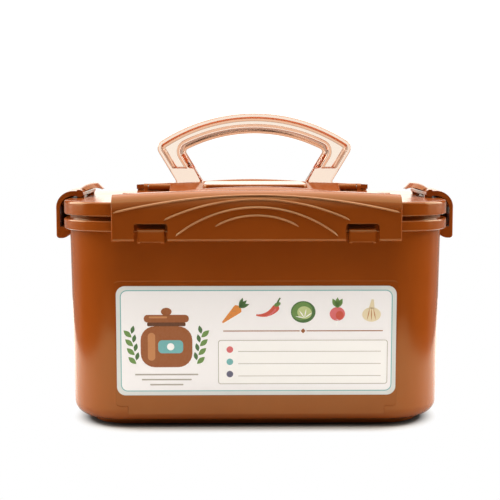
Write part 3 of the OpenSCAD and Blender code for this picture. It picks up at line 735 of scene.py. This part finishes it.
def tapered(u, v, length, start_half, end_half, turn_deg, bend=0.0, steps=12):
    """Points of a tapering body with a blunt start at a point, which may bend."""
    hop = length / steps
    left = []
    right = []
    for step in range(steps + 1):
        share = step / steps
        heading = math.radians(turn_deg + bend * share)
        if step:
            u += hop * math.cos(heading)
            v += hop * math.sin(heading)
        full = math.sqrt(min(1, share / BLUNT_SHARE + BLUNT_START))
        half = (start_half + (end_half - start_half) * share) * full
        left.append((u - half * math.sin(heading), v + half * math.cos(heading)))
        right.append((u + half * math.sin(heading), v - half * math.cos(heading)))
    return left + right[::-1]


def border_art():
    """A coloured border line with the label's ground inside it."""
    width = LABEL_W - 2 * LABEL_MARGIN
    height = LABEL_H - 2 * LABEL_MARGIN
    radius = LABEL_CORNER - LABEL_MARGIN / 2
    art = []
    for level, ink in enumerate(("teal", "ground")):
        set_in = level * BORDER_WIDTH
        outline = rounded_rect(0, 0, width - 2 * set_in, height - 2 * set_in, radius - set_in)
        art.append((ink, level, outline))
    return art


def sprig_art(u, v, side):
    """A sprig with leaves in pairs, leaning to one side."""
    art = []
    for step in range(SPRIG_PAIRS):
        stem_u = u + side * 0.9 * step
        stem_v = v + 5.4 * step
        art.append(("green", 2, leaf(stem_u, stem_v, 6.4, 1.5, 90 - side * 48)))
        art.append(("leaf", 2, leaf(stem_u, stem_v + 2.2, 5.2, 1.2, 90 + side * 14)))
    return art


def crock_art(u, v):
    """A generic lidded crock with a sprig at each side and three rules under it."""
    art = [
        ("brown", 2, rounded_rect(u, v, 31, 25, 8.5)),
        ("tan", 3, rounded_rect(u - 9, v, 4.5, 17, 2.2)),
        ("teal", 3, rounded_rect(u + 2.5, v, 15, 8, 2.5)),
        ("white", 4, ellipse(u + 2.5, v, 2.2, 2.2)),
        ("dark", 2, rounded_rect(u, v + 13.7, 23, 2.4, 0.8)),
        ("brown", 3, rounded_rect(u, v + 17.1, 27, 4.6, 2.2)),
        ("tan", 4, rounded_rect(u - 5, v + 17.9, 11, 1.2, 0.6)),
        ("brown", 3, ellipse(u, v + 21.3, 3.2, 2.4)),
    ]
    for side in (-1, 1):
        art += sprig_art(u + side * 18.2, v - 10.5, side)
    for step, width in enumerate((38, 30, 20)):
        art.append(("grey", 2, rounded_rect(u, v - 17 - 3.1 * step, width, 0.9, 0.4)))
    return art


def carrot_art(u, v):
    """A carrot with three leaves and three marks."""
    art = [("orange", 2, tapered(u + 3, v + 3, 14, 3.2, 0.5, 222))]
    for turn in (20, 45, 70):
        art.append(("leaf", 3, leaf(u + 2.6, v + 2.6, 6.5, 1.1, turn)))
    for step in range(3):
        mark = rounded_rect(u - 0.5 - 2.2 * step, v + 0.6 - 2.4 * step, 2.4 - 0.5 * step, 0.4, 0.2)
        art.append(("tan", 3, mark))
    return art


def chilli_art(u, v):
    """A bent chilli with a light streak and a stalk."""
    return [
        ("red", 2, tapered(u + 5, v + 4, 15, 2.5, 0.4, 245, -75)),
        ("rose", 3, tapered(u + 4.2, v + 2.2, 8, 0.6, 0.3, 243, -45)),
        ("green", 3, ellipse(u + 5, v + 4.6, 2.1, 1.2, 25)),
        ("leaf", 3, tapered(u + 5, v + 5, 4, 0.6, 0.4, 80, -30)),
    ]


def cabbage_art(u, v):
    """A cabbage of three rounds with pale veins."""
    art = [
        ("leaf", 2, ellipse(u, v, 7.4, 6.6)),
        ("green", 3, ellipse(u - 0.6, v + 0.4, 6.2, 5.4, 20)),
        ("pale", 4, ellipse(u + 0.8, v - 0.4, 4.4, 3.8, -15)),
    ]
    for turn in (35, 80, 125, 170):
        art.append(("white", 5, leaf(u + 0.8, v - 3.6, 5.6, 0.32, turn)))
    return art


def radish_art(u, v):
    """A radish with a white root, a shaded side and three leaves."""
    art = [
        ("rose", 2, ellipse(u, v - 1.2, 4.6, 4.2)),
        ("white", 2, tapered(u, v - 4.6, 4.4, 1.1, 0.2, 262)),
        ("red", 3, ellipse(u + 1.4, v - 2, 2.4, 2.6)),
    ]
    for turn in (62, 90, 118):
        art.append(("green", 3, leaf(u, v + 2.4, 6.4, 1.4, turn)))
    return art


def garlic_art(u, v):
    """A garlic bulb with a neck and three lines between its cloves."""
    return [
        ("cream", 2, ellipse(u, v - 1.6, 5.6, 4.4)),
        ("cream", 2, tapered(u, v + 1.6, 6, 1.8, 0.7, 84)),
        ("tan", 3, leaf(u - 2.6, v - 5, 7.4, 0.3, 78)),
        ("tan", 3, leaf(u, v - 5.6, 8.4, 0.3, 90)),
        ("tan", 3, leaf(u + 2.6, v - 5, 7.4, 0.3, 102)),
    ]


def vegetable_art(u, v):
    """A row of vegetables from a first place to the right."""
    art = []
    for step, draw in enumerate((carrot_art, chilli_art, cabbage_art, radish_art, garlic_art)):
        art += draw(u + VEGETABLES_APART * step, v)
    return art


def rule_art(u, v):
    """A thin rule with a small diamond in its middle."""
    art = [("brown", 2, rounded_rect(u + side * 25, v, 46, 0.6, 0.25)) for side in (-1, 1)]
    art.append(("brown", 2, ellipse(u, v, 1.5, 1.5, 0, 4)))
    return art


def writing_art(u, v):
    """A blank box to write on, with three ruled lines that each have a coloured dot."""
    art = [
        ("grey", 2, rounded_rect(u, v, 102, 27, 1.6)),
        ("white", 3, rounded_rect(u, v, 101.2, 26.2, 1.3)),
    ]
    for step, ink in enumerate(("rose", "teal", "slate")):
        line_v = v + 6.5 - 7.5 * step
        art.append((ink, 4, ellipse(u - 44, line_v + 1.2, 2, 2)))
        art.append(("grey", 4, rounded_rect(u + 4, line_v, 86, 0.35, 0.15)))
    return art


def label_art():
    """All printed shapes of the label: ink, level and outline."""
    art = border_art()
    art += crock_art(*CROCK_AT)
    art += vegetable_art(*FIRST_VEGETABLE_AT)
    art += rule_art(*RULE_AT)
    art += writing_art(*WRITING_AT)
    return art


def front_plane(frame, node):
    """The middle, the upward direction and the outward direction of a node's front face, in millimetres."""
    mesh = frame["nodes"][node].data
    facing = [face for face in mesh.polygons if face.normal.y < FRONT_FACING]
    face = max(facing, key=lambda candidate: candidate.area)
    outward = face.normal.normalized()
    upward = (Vector((0, 0, 1)) - outward * outward.z).normalized()
    low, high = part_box(node)
    middle = (low + high) / 2
    point = mesh.vertices[face.vertices[0]].co
    middle += outward * (point - middle).dot(outward)
    return middle / MM, upward, outward


def add_print(frame):
    """The label's print, one thin piece for each ink."""
    middle, upward, outward = front_plane(frame, "label")
    across = upward.cross(outward)
    art = label_art()
    for ink, colour in INKS.items():
        points = []
        faces = []
        for _, level, outline in [shape for shape in art if shape[0] == ink]:
            start = len(points)
            lift = outward * PRINT_LIFT * (level + 1)
            points += [middle + lift + across * u + upward * v for u, v in outline]
            faces.append(tuple(range(start, len(points))))
        add_piece("label_print_" + ink, points, faces, printed("ink_" + ink, colour), "tub")


def distance_from_core(surface):
    """Distance of a place on the table from the core of the object's shade."""
    sides = vector_step(surface.tree, "ABSOLUTE", surface.place)
    past = vector_step(surface.tree, "SUBTRACT", sides.outputs["Vector"], SHADE_CORE)
    beyond = vector_step(surface.tree, "MAXIMUM", past.outputs["Vector"])
    return vector_step(surface.tree, "LENGTH", beyond.outputs["Vector"]).outputs["Value"]


def floor_material():
    """Matt white table top that keeps the object's shadow, is darkened near the object by painted contact
    shade, and is plain white to the camera further off.
    """
    surface = Surface("floor_white")
    surface.values(specular_ior_level=0.1)
    tree = surface.tree
    cloud = surface.noise(per_metre=8, detail=2)
    # Ambient occlusion darkens the table's colour near the object: painted contact shade.
    painted_contact_shade = tree.nodes.new("ShaderNodeAmbientOcclusion")
    painted_contact_shade.inputs["Distance"].default_value = FLOOR_PAINTED_SHADE_REACH
    surface.link(surface.mottled(cloud, TABLE_DEEP, TABLE), painted_contact_shade.inputs["Color"])
    surface.feed(
        base_color=painted_contact_shade.outputs["Color"],
        roughness=surface.spread(cloud, low=0.7, high=0.8),
    )
    far = map_range(tree, distance_from_core(surface), FLOOR_SHADE_REACH, FLOOR_WHITE_REACH, 0, 1)
    path = tree.nodes.new("ShaderNodeLightPath")
    white = tree.nodes.new("ShaderNodeEmission")
    mix = tree.nodes.new("ShaderNodeMixShader")
    surface.link(combined(tree, "MULTIPLY", far, path.outputs["Is Camera Ray"]), mix.inputs["Fac"])
    surface.link(surface.shader.outputs["BSDF"], mix.inputs[1])
    surface.link(white.outputs["Emission"], mix.inputs[2])
    surface.link(mix.outputs["Shader"], surface.output.inputs["Surface"])
    return surface.material


def add_floor():
    """The table top, a flat piece of the studio."""
    corners = [
        (-FLOOR_HALF_WIDTH, FLOOR_FRONT, 0),
        (FLOOR_HALF_WIDTH, FLOOR_FRONT, 0),
        (FLOOR_HALF_WIDTH, FLOOR_BACK, 0),
        (-FLOOR_HALF_WIDTH, FLOOR_BACK, 0),
    ]
    mesh = bpy.data.meshes.new("table_top")
    mesh.from_pydata(corners, [], [(0, 1, 2, 3)])
    mesh.materials.append(floor_material())
    plane = bpy.data.objects.new("table_top", mesh)
    bpy.context.scene.collection.objects.link(plane)


def add_soft_box(name, light):
    """A rectangular lamp aimed at a point, not seen by the camera itself or through the clear handle."""
    lamp = bpy.data.lights.new(name, "AREA")
    lamp.shape = "RECTANGLE"
    lamp.size, lamp.size_y = light["size"]
    lamp.energy = light["watts"]
    lamp.color = linear(LIGHT_TINT)[:3]
    piece = bpy.data.objects.new(name, lamp)
    bpy.context.scene.collection.objects.link(piece)
    piece.location = light["at"]
    aim = Vector(light["to"]) - Vector(light["at"])
    piece.rotation_euler = aim.to_track_quat("-Z", "Y").to_euler()
    piece.visible_camera = False
    piece.visible_transmission = False


def room_light(tree, x, y, z):
    """Brightness of the room by direction: the ceiling, the glow behind and the sweep below."""
    height = map_range(tree, z, 0, 1, ROOM_LOW, ROOM_CEILING)
    aside = combined(tree, "MULTIPLY", x, x)
    strip = map_range(tree, aside, ROOM_STRIP_FROM, ROOM_STRIP_TO, 1, ROOM_SIDE_SHARE, "SMOOTHSTEP")
    behind = map_range(tree, y, ROOM_BEHIND_FROM, ROOM_BEHIND_TO, 0, 1, "SMOOTHSTEP")
    above = map_range(tree, z, -ROOM_HORIZON, ROOM_HORIZON, ROOM_BEHIND_LOW, ROOM_BEHIND, "SMOOTHSTEP")
    sweep = map_range(tree, y, ROOM_SWEEP_FROM, ROOM_SWEEP_TO, 0, ROOM_SWEEP, "SMOOTHSTEP")
    below = map_range(tree, z, -ROOM_HORIZON, ROOM_HORIZON, 1, 0, "SMOOTHSTEP")
    lit = combined(tree, "MULTIPLY", height, strip)
    for first, second in ((behind, above), (sweep, below)):
        lit = combined(tree, "MAXIMUM", lit, combined(tree, "MULTIPLY", first, second))
    return lit


def room_through(tree, y):
    """Brightness of the room as the clear handle lets it through, by direction."""
    along = combined(tree, "MULTIPLY", y, y)
    return map_range(tree, along, ROOM_THROUGH_FROM**2, ROOM_THROUGH_TO**2, ROOM_THROUGH_CLEAR, 1)


def add_room():
    """The world: white to the camera, otherwise bright overhead and behind, with a pale sweep below."""
    world = bpy.data.worlds.new("room")
    bpy.context.scene.world = world
    world.use_nodes = True
    tree = world.node_tree
    background = tree.nodes["Background"]
    direction = tree.nodes.new("ShaderNodeTexCoord")
    split = tree.nodes.new("ShaderNodeSeparateXYZ")
    tree.links.new(direction.outputs["Generated"], split.inputs["Vector"])
    x, y, z = split.outputs
    path = tree.nodes.new("ShaderNodeLightPath")
    room = tree.nodes.new("ShaderNodeMix")
    tree.links.new(path.outputs["Is Transmission Ray"], room.inputs["Factor"])
    tree.links.new(room_light(tree, x, y, z), room.inputs["A"])
    tree.links.new(room_through(tree, y), room.inputs["B"])
    strength = combined(tree, "MAXIMUM", room.outputs["Result"], path.outputs["Is Camera Ray"])
    tint = colour_mix(tree, path.outputs["Is Camera Ray"], LIGHT_TINT, WHITE)
    tree.links.new(tint, background.inputs["Color"])
    tree.links.new(strength, background.inputs["Strength"])


def add_camera():
    """The camera, as fitted to the photograph."""
    data = bpy.data.cameras.new("camera")
    data.sensor_fit = "HORIZONTAL"
    data.sensor_width = SENSOR_MM
    data.lens = FOCAL_PX / IMAGE_PX * SENSOR_MM
    data.clip_start = CAMERA_NEAR
    data.clip_end = CAMERA_FAR
    camera = bpy.data.objects.new("camera", data)
    bpy.context.scene.collection.objects.link(camera)
    camera.location = CAMERA_AT
    tilt = math.radians(90 - CAMERA_PITCH_DEG)
    camera.rotation_euler = (tilt, 0, -math.radians(CAMERA_YAW_DEG))
    bpy.context.scene.camera = camera


def dress(frame):
    """Materials for all the solids, and the pieces that stand on them or for them."""
    brown = brown_plastic("brown_plastic", EDGE_SHADE_MM, 0)
    for nodes, material in ((BROWN_NODES, brown), (SILICONE_NODES, silicone()), (STEEL_NODES, steel())):
        for node in nodes:
            give_material(frame, node, material)
    give_material(frame, "label", printed("label_paper", PAPER))
    add_handle()
    # The raised lines get a paler brown: a painted highlight.
    add_lines(brown_plastic("brown_lines", LINE_EDGE_SHADE_MM, LINE_PAINTED_HIGHLIGHT))
    add_print(frame)


def main():
    """Builds the whole scene."""
    for leftover in list(bpy.data.objects):
        bpy.data.objects.remove(leftover)
    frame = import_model()
    bpy.context.scene.view_settings.view_transform = "Standard"
    add_camera()
    dress(frame)
    add_floor()
    for name, light in SOFT_BOXES.items():
        add_soft_box(name, light)
    add_room()


main()
